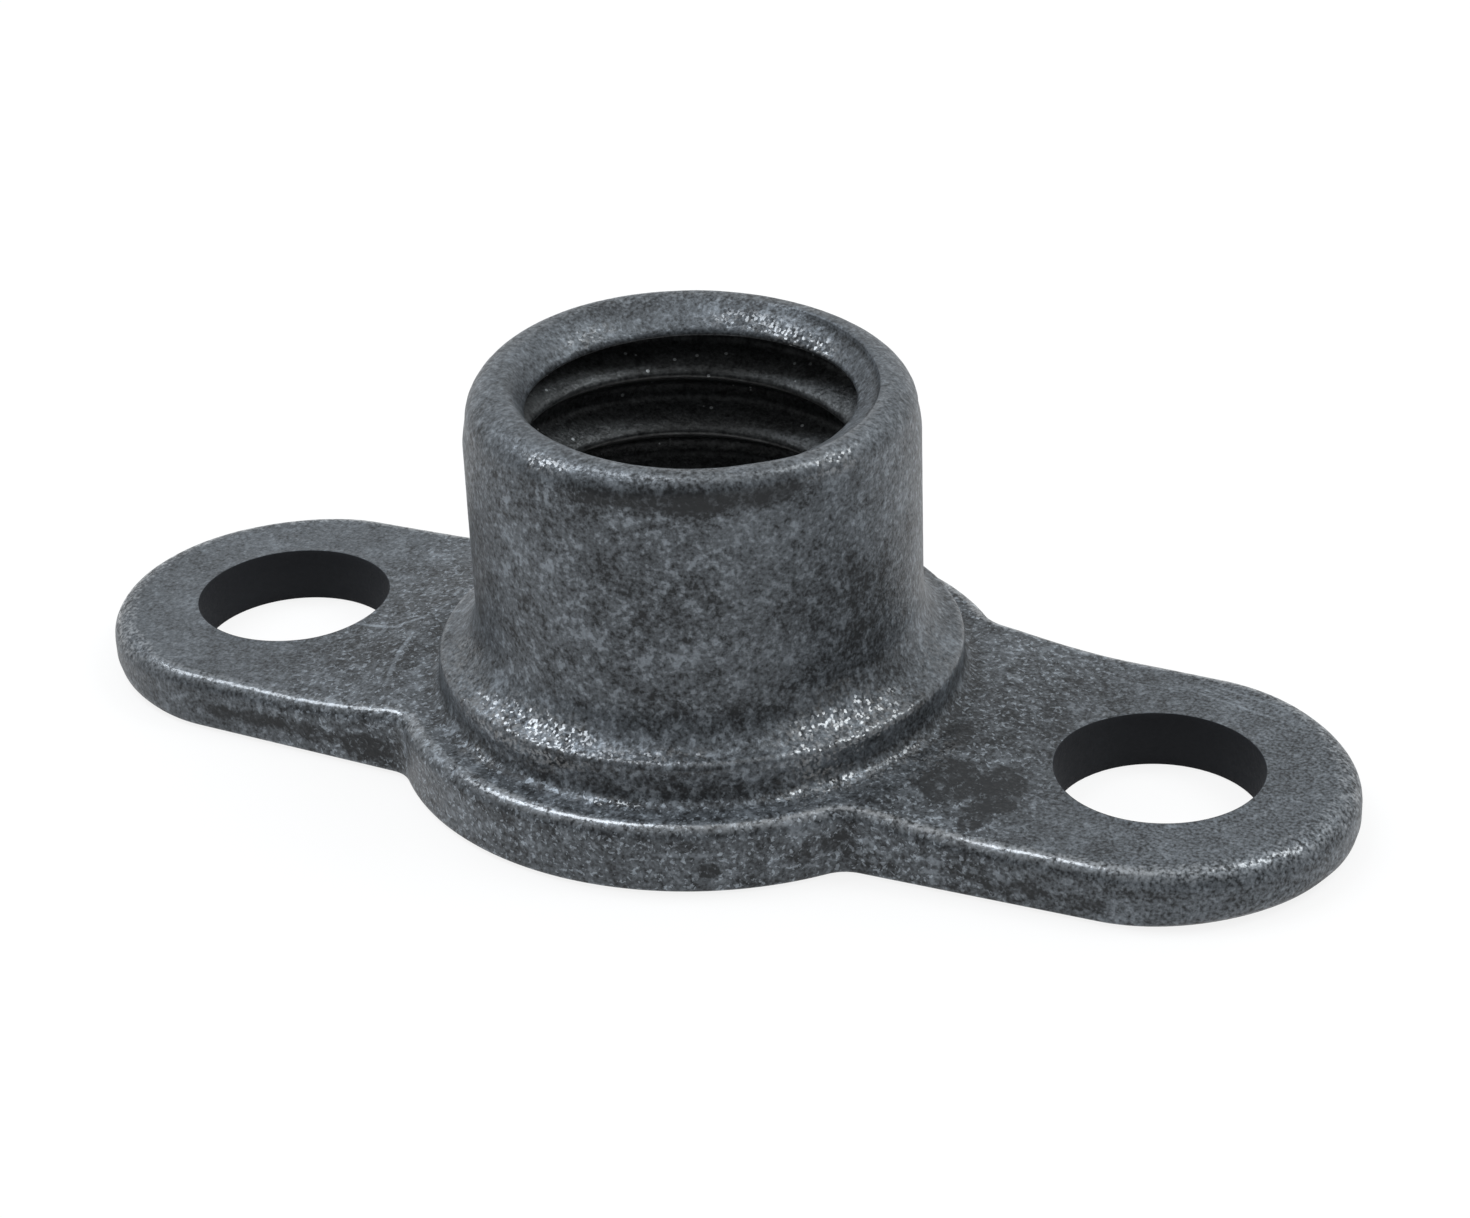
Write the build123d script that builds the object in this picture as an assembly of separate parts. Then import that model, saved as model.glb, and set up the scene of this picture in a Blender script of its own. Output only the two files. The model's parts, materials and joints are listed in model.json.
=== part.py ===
from build123d import *

import os
from math import cos, radians, sin, sqrt, tan

# Two-lug nutplate, forged in one piece: a ring base with two riveting ears and a self-locking threaded boss.
# Millimetres. +Z is the thread's axis and +X the line of the rivet holes. The origin is the centre of the flat base.
# The thread is left as a plain bore at its minor diameter.

# Rivet holes and ears
rivet_spacing = 11.9
rivet_hole_d = 2.49
ear_end_r = 2.38
ear_side_taper_deg = 1.6
ear_thickness = 0.72

# Thread bore, open at the base through an entry chamfer
thread_minor_d = 3.96
entry_d = 5.00
entry_cone_deg = 45.0

# Boss: round at its foot, squeezed oval at the crown so that the thread grips its bolt
overall_height = 4.82
boss_wall = 0.78
crown_spread = 0.10
crown_squeeze = 0.16
crown_turn_deg = -47.0
crown_r = 0.26
crown_land = 0.02

# Mouth of the bore: it follows the crown inside its land, and is squeezed more across the short way
mouth_squeeze = 0.18
mouth_depth = 0.32
mouth_round_r = 0.06

# Collar and flared foot of the boss
flare_reach = 0.50
flare_r = 0.60
collar_height = 0.49
collar_root_r = 0.20
collar_rim_r = 0.08

# Ring base, and the ramps that lead down from its shelf on to the ears
shelf_width = 0.57
ring_thickness = 0.88
ramp_run = 0.90
ramp_top_r = 0.60
ramp_foot_r = 1.50
notch_r = 0.45
top_edge_r = 0.20
base_edge_r = 0.08

# Diameters, from the bore outwards
boss_foot_d = thread_minor_d + 2 * boss_wall
crown_long_d = boss_foot_d + crown_spread
crown_short_d = boss_foot_d - crown_squeeze
collar_d = boss_foot_d + 2 * flare_reach
ring_d = collar_d + 2 * shelf_width

# How far cutting bodies run past the material, and how near counts as the same place
overrun = 0.5
match_tolerance = 0.005


def ear_outline(side):
    """One ear in plan: a round end about its rivet hole, and sides that widen towards the axis.

    side is 1 for the ear on +X and -1 for the ear on -X.
    """
    taper = radians(ear_side_taper_deg)
    hole_x = rivet_spacing / 2
    tangent_x = hole_x + ear_end_r * sin(taper)
    tangent_y = ear_end_r * cos(taper)
    root_y = tangent_y + tangent_x * tan(taper)
    with BuildLine() as ear:
        Polyline((side * tangent_x, -tangent_y), (0, -root_y), (0, root_y), (side * tangent_x, tangent_y))
        ThreePointArc(
            (side * tangent_x, tangent_y),
            (side * (hole_x + ear_end_r), 0),
            (side * tangent_x, -tangent_y),
        )
    return make_face(ear.line)


def base_outline():
    """The base in plan: ring and ears, with the four notches between them rounded."""
    ring_r = ring_d / 2
    outline = Circle(ring_r) + ear_outline(1) + ear_outline(-1)
    notches = [v for v in outline.vertices() if abs(Vector(v.X, v.Y).length - ring_r) < match_tolerance]
    return fillet(notches, radius=notch_r)


def flare_arc():
    """Start, middle and end, in the section, of the concave arc from the collar's rim up to the boss.

    The arc ends tangent to the upright wall.
    """
    rim = Vector(collar_d / 2, ring_thickness + collar_height)
    centre_x = boss_foot_d / 2 + flare_r
    centre = Vector(centre_x, rim.Y + sqrt(flare_r**2 - (centre_x - rim.X) ** 2))
    top = Vector(boss_foot_d / 2, centre.Y)
    middle = centre + ((rim + top) / 2 - centre).normalized() * flare_r
    return rim, middle, top


def base_section():
    """Half section of the base and the boss's foot, from the axis out past the ears, with its corners rounded."""
    reach = rivet_spacing / 2 + ear_end_r + overrun
    ramp_top = Vector(ring_d / 2, ring_thickness)
    ramp_foot = Vector(ring_d / 2 + ramp_run, ear_thickness)
    collar_root = Vector(collar_d / 2, ring_thickness)
    collar_rim, flare_middle, flare_top = flare_arc()
    with BuildLine() as edge:
        ThreePointArc(collar_rim, flare_middle, flare_top)
        Polyline(
            flare_top,
            (0, flare_top.Y),
            (0, 0),
            (reach, 0),
            (reach, ear_thickness),
            ramp_foot,
            ramp_top,
            collar_root,
            collar_rim,
        )
    section = make_face(edge.line)
    rounds = {
        ramp_foot: ramp_foot_r,
        ramp_top: ramp_top_r,
        collar_root: collar_root_r,
        collar_rim: collar_rim_r,
    }
    for corner, radius in rounds.items():
        section = fillet(section.vertices().sort_by_distance(corner)[0], radius=radius)
    return Plane.XZ * section


def outline_edges(base, outline):
    """Edges of the base that run along its outline, as two lists: those of the upper side and of the underside."""
    wire = outline.face().outer_wire()
    upper = ShapeList()
    under = ShapeList()
    for edge in base.edges():
        start, middle, end = (edge.position_at(share) for share in (0, 1 / 2, 1))
        if wire.distance_to(Vector(middle.X, middle.Y)) > match_tolerance:
            continue
        if min(start.Z, middle.Z, end.Z) > ear_thickness / 2:
            upper.append(edge)
        elif max(start.Z, middle.Z, end.Z) < ear_thickness / 2:
            under.append(edge)
    return upper, under


def ring_base():
    """The base with the boss's foot: the turned section inside the outline, with the outline's edges rounded."""
    outline = base_outline()
    base = extrude(outline, amount=overall_height) & revolve(base_section(), axis=Axis.Z)
    base = fillet(outline_edges(base, outline)[0], radius=top_edge_r)
    return fillet(outline_edges(base, outline)[1], radius=base_edge_r)


def crown_ellipse(long_d, short_d, height):
    """An ellipse at a height, turned the way that the crown is squeezed."""
    return Pos(0, 0, height) * Rot(0, 0, crown_turn_deg) * Ellipse(long_d / 2, short_d / 2)


def boss():
    """The boss above its flare, from the round foot to the oval crown, with the crown's outer edge rounded."""
    foot_height = flare_arc()[-1].Y
    foot = Pos(0, 0, foot_height) * Circle(boss_foot_d / 2)
    wall = loft([foot, crown_ellipse(crown_long_d, crown_short_d, overall_height)])
    return fillet(wall.edges().group_by(Axis.Z)[-1], radius=crown_r)


def mouth_cutter():
    """Cutting body of the mouth: round at the thread, oval at the crown, and carried on past the top."""
    rim_width = crown_r + crown_land + mouth_round_r
    long_d = crown_long_d - 2 * rim_width
    short_d = crown_short_d - 2 * rim_width - mouth_squeeze
    carry = 1 + overrun / mouth_depth
    foot = Pos(0, 0, overall_height - mouth_depth) * Circle(thread_minor_d / 2)
    top = crown_ellipse(
        thread_minor_d + (long_d - thread_minor_d) * carry,
        thread_minor_d + (short_d - thread_minor_d) * carry,
        overall_height + overrun,
    )
    return loft([foot, top])


def bore_cutter():
    """Cutting body of the bore: the entry chamfer under the base and the thread's wall, past both ends."""
    bore_r = thread_minor_d / 2
    flare_out = tan(radians(entry_cone_deg))
    entry_depth = (entry_d / 2 - bore_r) / flare_out
    with BuildLine() as edge:
        Polyline(
            (0, -overrun),
            (entry_d / 2 + overrun * flare_out, -overrun),
            (bore_r, entry_depth),
            (bore_r, overall_height + overrun),
            (0, overall_height + overrun),
            close=True,
        )
    return revolve(Plane.XZ * make_face(edge.line), axis=Axis.Z)


def rivet_drills():
    """Cutting bodies of the two rivet holes."""
    depth = ear_thickness + 2 * overrun
    drill = Cylinder(rivet_hole_d / 2, depth, align=(Align.CENTER, Align.CENTER, Align.MIN))
    return [Pos(side * rivet_spacing / 2, 0, -overrun) * drill for side in (1, -1)]


def nutplate():
    """The whole piece: base and boss, then the bore, its mouth and the rivet holes."""
    body = ring_base() + boss() - bore_cutter() - mouth_cutter()
    mouth_edge = body.edges().group_by(Axis.Z)[-1].sort_by(SortBy.LENGTH)[0]
    return fillet(mouth_edge, radius=mouth_round_r) - rivet_drills()


os.makedirs("parts", exist_ok=True)
export_step(nutplate(), "parts/nutplate.step")
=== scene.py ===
"""Dressed model of a two-lug nutplate: its thread, its mottled coating and its wear, in a plain studio.

Lengths are in millimetres until a mesh goes into the scene, which is in metres.
"""

import json
import logging
import math
from dataclasses import dataclass
from enum import Enum

import bmesh
import bpy
import numpy as np
from mathutils import Matrix, Vector


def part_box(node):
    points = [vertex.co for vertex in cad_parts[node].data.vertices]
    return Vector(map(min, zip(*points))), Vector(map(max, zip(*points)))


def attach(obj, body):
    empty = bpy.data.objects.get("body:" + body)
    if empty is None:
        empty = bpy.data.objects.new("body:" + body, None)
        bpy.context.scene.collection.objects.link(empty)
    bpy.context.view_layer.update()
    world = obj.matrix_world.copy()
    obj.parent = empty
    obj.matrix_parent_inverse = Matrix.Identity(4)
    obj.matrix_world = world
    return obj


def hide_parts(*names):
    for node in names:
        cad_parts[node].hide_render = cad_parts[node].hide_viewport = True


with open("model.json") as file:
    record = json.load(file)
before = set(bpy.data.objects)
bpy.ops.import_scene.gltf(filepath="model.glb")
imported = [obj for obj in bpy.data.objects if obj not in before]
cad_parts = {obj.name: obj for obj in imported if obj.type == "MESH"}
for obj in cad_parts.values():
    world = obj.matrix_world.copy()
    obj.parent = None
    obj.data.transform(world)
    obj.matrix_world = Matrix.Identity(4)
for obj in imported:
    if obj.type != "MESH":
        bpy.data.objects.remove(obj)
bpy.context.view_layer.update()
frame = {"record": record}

NODE = "nutplate"
BODY = "root"
MM = 0.001
TURN = 2 * math.pi

Colour = tuple[float, float, float]
Point = tuple[float, float, float]
Socket = bpy.types.NodeSocket
Value = Socket | float

log = logging.getLogger(NODE)


class SocketKind(Enum):
    """Kinds of input that a geometry tree takes."""

    GEOMETRY = "NodeSocketGeometry"
    FLOAT = "NodeSocketFloat"
    INTEGER = "NodeSocketInt"
    MATERIAL = "NodeSocketMaterial"


class Ear(Enum):
    """The two riveting ears, by the turn from +X at which each one lies."""

    RIGHT = 0.0
    LEFT = math.pi


def mount_size(mount: str, key: str) -> float:
    """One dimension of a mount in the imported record.

    Args:
        mount: Name of the mount.
        key: Name of the dimension.

    Returns:
        The dimension, in millimetres.
    """
    return next(m["dims"][key] for m in frame["record"]["mounts"] if m["name"] == mount)


def polar(radius: np.ndarray | float, angle: np.ndarray) -> np.ndarray:
    """Points in plan at a radius from the axis.

    Args:
        radius: Radius or radii.
        angle: Angles from +X.

    Returns:
        An array of points, with X and Y last.
    """
    return np.stack([radius * np.cos(angle), radius * np.sin(angle)], axis=-1)


def lift(plan: np.ndarray, height: np.ndarray | float) -> np.ndarray:
    """Points in plan given a height.

    Args:
        plan: Points, with X and Y last.
        height: One height, or one for each point.

    Returns:
        Points with X, Y and Z last.
    """
    heights = np.broadcast_to(np.asarray(height, float), plan.shape[:-1])
    return np.concatenate([plan, heights[..., None]], axis=-1)


def smooth_step(value: np.ndarray, start: float, end: float) -> np.ndarray:
    """Rises smoothly from 0 at start to 1 at end.

    Args:
        value: Where to look.
        start: Where the rise begins.
        end: Where the rise is over.

    Returns:
        The risen share.
    """
    share = np.clip((value - start) / (end - start), 0, 1)
    return share * share * (3 - 2 * share)


def soft_max(first: np.ndarray, second: np.ndarray | float, width: float) -> np.ndarray:
    """The larger of two values, with the corner between them rounded.

    Args:
        first: First values.
        second: Second values.
        width: Width of the rounding.

    Returns:
        The rounded larger values.
    """
    near = np.clip(0.5 + 0.5 * (first - second) / width, 0, 1)
    return second + (first - second) * near + width * near * (1 - near)


class Patchwork:
    """Grids of quads that are welded into one closed mesh where their borders meet."""

    weld_distance: float = 0.002

    def __init__(self) -> None:
        """Starts with no points and no faces."""
        self.points: list[np.ndarray] = []
        self.quads: list[np.ndarray] = []
        self.count: int = 0

    def add(self, grid: np.ndarray, closed: bool = False) -> None:
        """Adds a grid of points as quads.

        Args:
            grid: Points in millimetres, as rows by columns by three.
            closed: Whether the last column joins the first one.
        """
        rows, columns = grid.shape[:2]
        index = np.arange(rows * columns).reshape(rows, columns) + self.count
        if closed:
            index = np.hstack([index, index[:, :1]])
        corners = (index[:-1, :-1], index[:-1, 1:], index[1:, 1:], index[1:, :-1])
        self.points.append(grid.reshape(-1, 3))
        self.quads.append(np.stack(corners, axis=-1).reshape(-1, 4))
        self.count += rows * columns

    def add_mesh(self, mesh: bpy.types.Mesh) -> None:
        """Adds the quads of a finished mesh, which is in metres.

        Args:
            mesh: A mesh of quads alone.
        """
        points = np.zeros(len(mesh.vertices) * 3)
        mesh.vertices.foreach_get("co", points)
        corners = np.zeros(len(mesh.loops), int)
        mesh.loops.foreach_get("vertex_index", corners)
        self.points.append(points.reshape(-1, 3) / MM)
        self.quads.append(corners.reshape(-1, 4) + self.count)
        self.count += len(mesh.vertices)

    def weld(self, name: str) -> bpy.types.Mesh:
        """Welds everything added so far.

        Args:
            name: Name of the new mesh.

        Returns:
            A closed mesh in metres, with its faces pointing outwards.
        """
        mesh = bpy.data.meshes.new(name)
        mesh.from_pydata((np.concatenate(self.points) * MM).tolist(), [], np.concatenate(self.quads).tolist())
        work = bmesh.new()
        work.from_mesh(mesh)
        bmesh.ops.remove_doubles(work, verts=work.verts, dist=self.weld_distance * MM)
        bmesh.ops.recalc_face_normals(work, faces=work.faces)
        for face in work.faces:
            face.smooth = True
        loose = sum(not edge.is_manifold for edge in work.edges)
        work.to_mesh(mesh)
        work.free()
        log.info("%s welded: %d faces, %d open edges", name, len(mesh.polygons), loose)
        return mesh


class NodeBench:
    """Adds nodes to a shader or geometry tree and joins them."""

    def __init__(self, tree: bpy.types.NodeTree) -> None:
        """Works on one tree.

        Args:
            tree: The tree that gets the nodes.
        """
        self.tree = tree

    def set(self, socket: Socket, value: Value | tuple | None) -> None:
        """Links a socket to another, or gives it a plain value.

        Args:
            socket: The input to feed.
            value: A socket, a plain value, or None to leave the input alone.
        """
        if isinstance(value, Socket):
            self.tree.links.new(value, socket)
        elif value is not None:
            socket.default_value = value

    def node(self, kind: str, inputs: dict[str | int, Value | tuple], **settings: object) -> bpy.types.Node:
        """Adds a node.

        Args:
            kind: Type name of the node.
            inputs: What each named or numbered input gets.
            **settings: Properties of the node.

        Returns:
            The new node.
        """
        made = self.tree.nodes.new(kind)
        for key, value in settings.items():
            setattr(made, key, value)
        for key, value in inputs.items():
            self.set(made.inputs[key], value)
        return made

    def math(self, operation: str, *values: Value) -> Socket:
        """One step of arithmetic.

        Args:
            operation: Name of the operation.
            *values: Its operands.

        Returns:
            The result.
        """
        return self.node("ShaderNodeMath", dict(enumerate(values)), operation=operation).outputs[0]

    def total(self, *values: Value) -> Socket:
        """All the values added up.

        Args:
            *values: Two values or more.

        Returns:
            Their sum.
        """
        result = values[0]
        for value in values[1:]:
            result = self.math("ADD", result, value)
        return result

    def rise(self, value: Value, start: Value, end: Value, low: float = 0.0, high: float = 1.0) -> Socket:
        """A smooth rise from low to high.

        Args:
            value: Where to look.
            start: Where the rise begins.
            end: Where the rise is over.
            low: Result before the rise.
            high: Result after the rise.

        Returns:
            The result.
        """
        inputs = {"Value": value, "From Min": start, "From Max": end, "To Min": low, "To Max": high}
        return self.node("ShaderNodeMapRange", inputs, interpolation_type="SMOOTHSTEP").outputs["Result"]

    def product(self, *values: Value) -> Socket:
        """All the values multiplied.

        Args:
            *values: Two values or more.

        Returns:
            Their product.
        """
        result = values[0]
        for value in values[1:]:
            result = self.math("MULTIPLY", result, value)
        return result

    def scaled(self, vector: Socket | tuple, factor: Value) -> Socket:
        """A vector or a colour times a number.

        Args:
            vector: The vector or colour.
            factor: The number.

        Returns:
            The product.
        """
        return self.node("ShaderNodeVectorMath", {0: vector, "Scale": factor}, operation="SCALE").outputs[0]

    def parts(self, vector: Socket) -> bpy.types.NodeOutputs:
        """The X, Y and Z of a vector."""
        return self.node("ShaderNodeSeparateXYZ", {0: vector}).outputs

    def length(self, *sides: Value) -> Socket:
        """Length of the diagonal over sides that are square to each other.

        Args:
            *sides: Two sides or more.

        Returns:
            The length.
        """
        return self.math("SQRT", self.total(*(self.math("POWER", side, 2.0) for side in sides)))

    def noise(
        self, place: Socket, per_mm: float, detail: float, seed: float,
        roughness: float = 0.6, distortion: float = 0.0,
    ) -> Socket:
        """Noise about zero.

        Args:
            place: Coordinates in millimetres.
            per_mm: Features in a millimetre.
            detail: Octaves of finer noise.
            seed: Picks the pattern.
            roughness: Weight of the finer octaves.
            distortion: How far the pattern is bent.

        Returns:
            Noise between about -0.5 and 0.5.
        """
        inputs = {"Vector": place, "W": seed, "Scale": per_mm, "Detail": detail}
        inputs |= {"Roughness": roughness, "Distortion": distortion}
        made = self.node("ShaderNodeTexNoise", inputs, noise_dimensions="4D", normalize=True)
        return self.math("SUBTRACT", made.outputs[0], 0.5)

    def blend(self, share: Value, first: Value | tuple, second: Value | tuple) -> Socket:
        """A blend of two colours.

        Args:
            share: Share of the second colour.
            first: First colour.
            second: Second colour.

        Returns:
            The blended colour.
        """
        made = self.node("ShaderNodeMix", {0: share}, data_type="RGBA")
        for socket, colour in ((made.inputs[6], first), (made.inputs[7], second)):
            self.set(socket, (*colour, 1.0) if isinstance(colour, tuple) else colour)
        return made.outputs[2]


class GeometryRule:
    """A geometry tree with named inputs, run once on an object to give a plain mesh."""

    def __init__(self, name: str, inputs: dict[str, SocketKind]) -> None:
        """Makes an empty tree with its inputs.

        Args:
            name: Name of the tree.
            inputs: Kind of each named input.
        """
        self.tree = bpy.data.node_groups.new(name, "GeometryNodeTree")
        self.bench = NodeBench(self.tree)
        self.identifiers: dict[str, str] = {}
        for label, kind in inputs.items():
            made = self.tree.interface.new_socket(label, in_out="INPUT", socket_type=kind.value)
            self.identifiers[label] = made.identifier
        self.tree.interface.new_socket("Geometry", in_out="OUTPUT", socket_type=SocketKind.GEOMETRY.value)
        self.given = self.tree.nodes.new("NodeGroupInput").outputs

    def close(self, geometry: Socket) -> None:
        """Ends the tree with real geometry that carries its material.

        Args:
            geometry: What the tree has made.
        """
        real = self.bench.node("GeometryNodeRealizeInstances", {"Geometry": geometry})
        dressed = self.bench.node(
            "GeometryNodeSetMaterial", {"Geometry": real.outputs[0], "Material": self.given["Material"]}
        )
        self.bench.node("NodeGroupOutput", {"Geometry": dressed.outputs[0]})

    def run(self, mesh: bpy.types.Mesh, values: dict[str, object]) -> bpy.types.Mesh:
        """Runs the tree on a mesh.

        Args:
            mesh: The mesh that goes in.
            values: Value of each named input.

        Returns:
            The mesh that comes out.
        """
        carrier = bpy.data.objects.new(self.tree.name, mesh)
        bpy.context.scene.collection.objects.link(carrier)
        modifier = carrier.modifiers.new(self.tree.name, "NODES")
        modifier.node_group = self.tree
        for label, value in values.items():
            modifier[self.identifiers[label]] = value
        graph = bpy.context.evaluated_depsgraph_get()
        made = bpy.data.meshes.new_from_object(carrier.evaluated_get(graph))
        carrier.modifiers.remove(modifier)
        bpy.data.objects.remove(carrier)
        return made


@dataclass
class RingBase:
    """Flat base: a ring and two ears, with the rivet holes and everything below the seam with the boss."""

    ring_r: float
    rivet_spacing: float
    rivet_hole_r: float
    ear_end_r: float
    ear_taper: float = math.radians(1.6)
    ear_thickness: float = 0.72
    ring_thickness: float = 0.88
    ramp_run: float = 0.90
    ramp_top_width: float = 0.03
    ramp_foot_width: float = 0.10
    notch_r: float = 0.45
    top_edge_r: float = 0.20
    base_edge_r: float = 0.08
    end_top_r: float = 0.32
    end_base_r: float = 0.22
    end_start: float = 6.0
    end_full: float = 7.9
    hole_break: float = 0.004
    seam_r: float = 3.50
    entry_r: float = 2.50
    segments: int = 288
    cut_steps: int = 32
    end_steps: int = 52
    side_steps: int = 40
    notch_steps: int = 10
    arc_steps: int = 35
    strip_steps: int = 3
    round_steps: int = 9
    wall_steps: int = 7
    ear_rows: int = 26
    under_rows: int = 6

    @property
    def cut_index(self) -> int:
        """Place in a quarter of the outline, half way through the notch, where ear and ring grids meet."""
        return self.end_steps + self.side_steps + self.notch_steps // 2

    @property
    def hole_centre(self) -> np.ndarray:
        """Centre of the right ear's rivet hole, in plan."""
        return np.array([self.rivet_spacing / 2, 0.0])

    def quarter_outline(self) -> tuple[np.ndarray, np.ndarray]:
        """Outline from the right ear's end round to the far side of the ring.

        Returns:
            Points in plan and their outward normals.
        """
        side_normal = np.array([math.sin(self.ear_taper), math.cos(self.ear_taper)])
        along_side = np.array([math.cos(self.ear_taper), -math.sin(self.ear_taper)])
        end_normals = polar(1.0, np.linspace(0, math.pi / 2 - self.ear_taper, self.end_steps, endpoint=False))
        end_points = self.hole_centre + self.ear_end_r * end_normals
        reach = self.hole_centre @ side_normal + self.ear_end_r + self.notch_r
        along = math.sqrt((self.ring_r + self.notch_r) ** 2 - reach**2)
        notch_centre = side_normal * reach + along_side * along
        side_start = self.hole_centre + self.ear_end_r * side_normal
        side_end = notch_centre - self.notch_r * side_normal
        side_points = np.linspace(side_start, side_end, self.side_steps, endpoint=False)
        side_normals = np.tile(side_normal, (self.side_steps, 1))
        first = math.atan2(-side_normal[1], -side_normal[0])
        last = math.atan2(-notch_centre[1], -notch_centre[0])
        into_notch = polar(1.0, np.linspace(first, last, self.notch_steps, endpoint=False))
        notch_points = notch_centre + self.notch_r * into_notch
        ring_start = math.atan2(notch_centre[1], notch_centre[0])
        ring_normals = polar(1.0, np.linspace(ring_start, math.pi / 2, self.arc_steps + 1))
        points = [end_points, side_points, notch_points, self.ring_r * ring_normals]
        normals = [end_normals, side_normals, -into_notch, ring_normals]
        return np.concatenate(points), np.concatenate(normals)

    def edge_radii(self, points: np.ndarray) -> tuple[np.ndarray, np.ndarray]:
        """Radii of the outline's upper and lower rounding, which grow on the ears' ends.

        Args:
            points: Points of the outline.

        Returns:
            The upper and the lower radius at each point, as columns.
        """
        end = smooth_step(np.abs(points[:, :1]), self.end_start, self.end_full)
        upper = self.top_edge_r + (self.end_top_r - self.top_edge_r) * end
        lower = self.base_edge_r + (self.end_base_r - self.base_edge_r) * end
        return upper, lower

    def ear_outline(self) -> tuple[np.ndarray, np.ndarray]:
        """Outline of the right ear, from one cut round its end to the other.

        Returns:
            Points in plan and their outward normals.
        """
        mirror = np.array([1.0, -1.0])
        halves = (side[: self.cut_index + 1] for side in self.quarter_outline())
        return tuple(np.concatenate([half[:0:-1] * mirror, half]) for half in halves)

    def ring_outline(self) -> tuple[np.ndarray, np.ndarray]:
        """Outline of the ring's far side, from the right ear's cut to the left ear's.

        Returns:
            Points in plan and their outward normals.
        """
        mirror = np.array([-1.0, 1.0])
        halves = (side[self.cut_index :] for side in self.quarter_outline())
        return tuple(np.concatenate([half, half[-2::-1] * mirror]) for half in halves)

    def turned(self, plan: np.ndarray, ear: Ear) -> np.ndarray:
        """Points in plan turned about the axis to one ear's side.

        Args:
            plan: Points, with X and Y last.
            ear: Which ear.

        Returns:
            The turned points.
        """
        return plan if ear is Ear.RIGHT else -plan

    def top_height(self, plan: np.ndarray) -> np.ndarray:
        """Height of the upper face: the ring's shelf, a ramp, and the ears.

        Args:
            plan: Points, with X and Y last.

        Returns:
            Heights.
        """
        out = np.linalg.norm(plan, axis=-1) - self.ring_r
        fall = self.ring_thickness - self.ear_thickness
        ramp = self.ring_thickness - fall * out / self.ramp_run
        capped = -soft_max(-ramp, -self.ring_thickness, self.ramp_top_width)
        return soft_max(capped, self.ear_thickness, self.ramp_foot_width)

    def ear_grid(self, upper: bool, inner_r: float, hole_r: float, rows: int) -> np.ndarray:
        """Rows of points in plan from the right ear's rivet hole out to its border.

        Args:
            upper: Whether the border is that of the upper face or of the underside.
            inner_r: Radius of the border's arc about the axis.
            hole_r: Radius at which the rows start.
            rows: Number of steps from hole to border.

        Returns:
            A closed grid, with one row about the hole in each layer.
        """
        points, normals = self.ear_outline()
        outer = points - self.edge_radii(points)[0 if upper else 1] * normals
        arc = np.arange(self.cut_steps, -self.cut_steps - 1, -1) * TURN / self.segments
        inner = polar(inner_r, arc)
        steps = np.linspace(0, 1, self.strip_steps + 1)[1:-1, None]
        going_in = outer[-1] + (inner[0] - outer[-1]) * steps
        going_out = inner[-1] + (outer[0] - inner[-1]) * steps
        border = np.concatenate([outer, going_in, inner, going_out])
        spokes = border - self.hole_centre
        rim = self.hole_centre + hole_r * spokes / np.linalg.norm(spokes, axis=1, keepdims=True)
        share = np.linspace(0, 1, rows + 1)[:, None, None]
        return rim + (border - rim) * share

    def ring_grid(self, upper: bool, inner_r: float) -> np.ndarray:
        """Strip of points in plan along the ring's far arc.

        Args:
            upper: Whether the border is that of the upper face or of the underside.
            inner_r: Radius of the inner border.

        Returns:
            A grid from the inner border to the outer one.
        """
        points, normals = self.ring_outline()
        outer = points - self.edge_radii(points)[0 if upper else 1] * normals
        steps = np.arange(self.cut_steps, self.segments // 2 - self.cut_steps + 1)
        inner = polar(inner_r, steps * TURN / self.segments)
        share = np.linspace(0, 1, self.strip_steps + 1)[:, None, None]
        return inner + (outer - inner) * share

    def edge_band(self) -> np.ndarray:
        """The base's rim all round: rounded upper edge, upright wall and broken lower edge.

        Returns:
            A closed grid from the upper face to the underside.
        """
        pairs = zip(self.ear_outline(), self.ring_outline())
        halves = [np.concatenate([ear, ring[1:-1]]) for ear, ring in pairs]
        points, normals = (np.concatenate([half, -half]) for half in halves)
        upper_r, lower_r = self.edge_radii(points)
        top = self.top_height(points - upper_r * normals)
        round_top, round_base = upper_r[:, 0], lower_r[:, 0]
        rows = []
        for angle in np.linspace(0, math.pi / 2, self.round_steps + 1):
            height = top - round_top * (1 - math.cos(angle))
            rows.append(lift(points - upper_r * (1 - math.sin(angle)) * normals, height))
        for share in np.linspace(0, 1, self.wall_steps + 1)[1:]:
            rows.append(lift(points, (top - round_top) * (1 - share) + round_base * share))
        for angle in np.linspace(0, math.pi / 2, self.strip_steps + 1)[1:]:
            height = round_base * (1 - math.sin(angle))
            rows.append(lift(points - lower_r * (1 - math.cos(angle)) * normals, height))
        return np.stack(rows)

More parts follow.
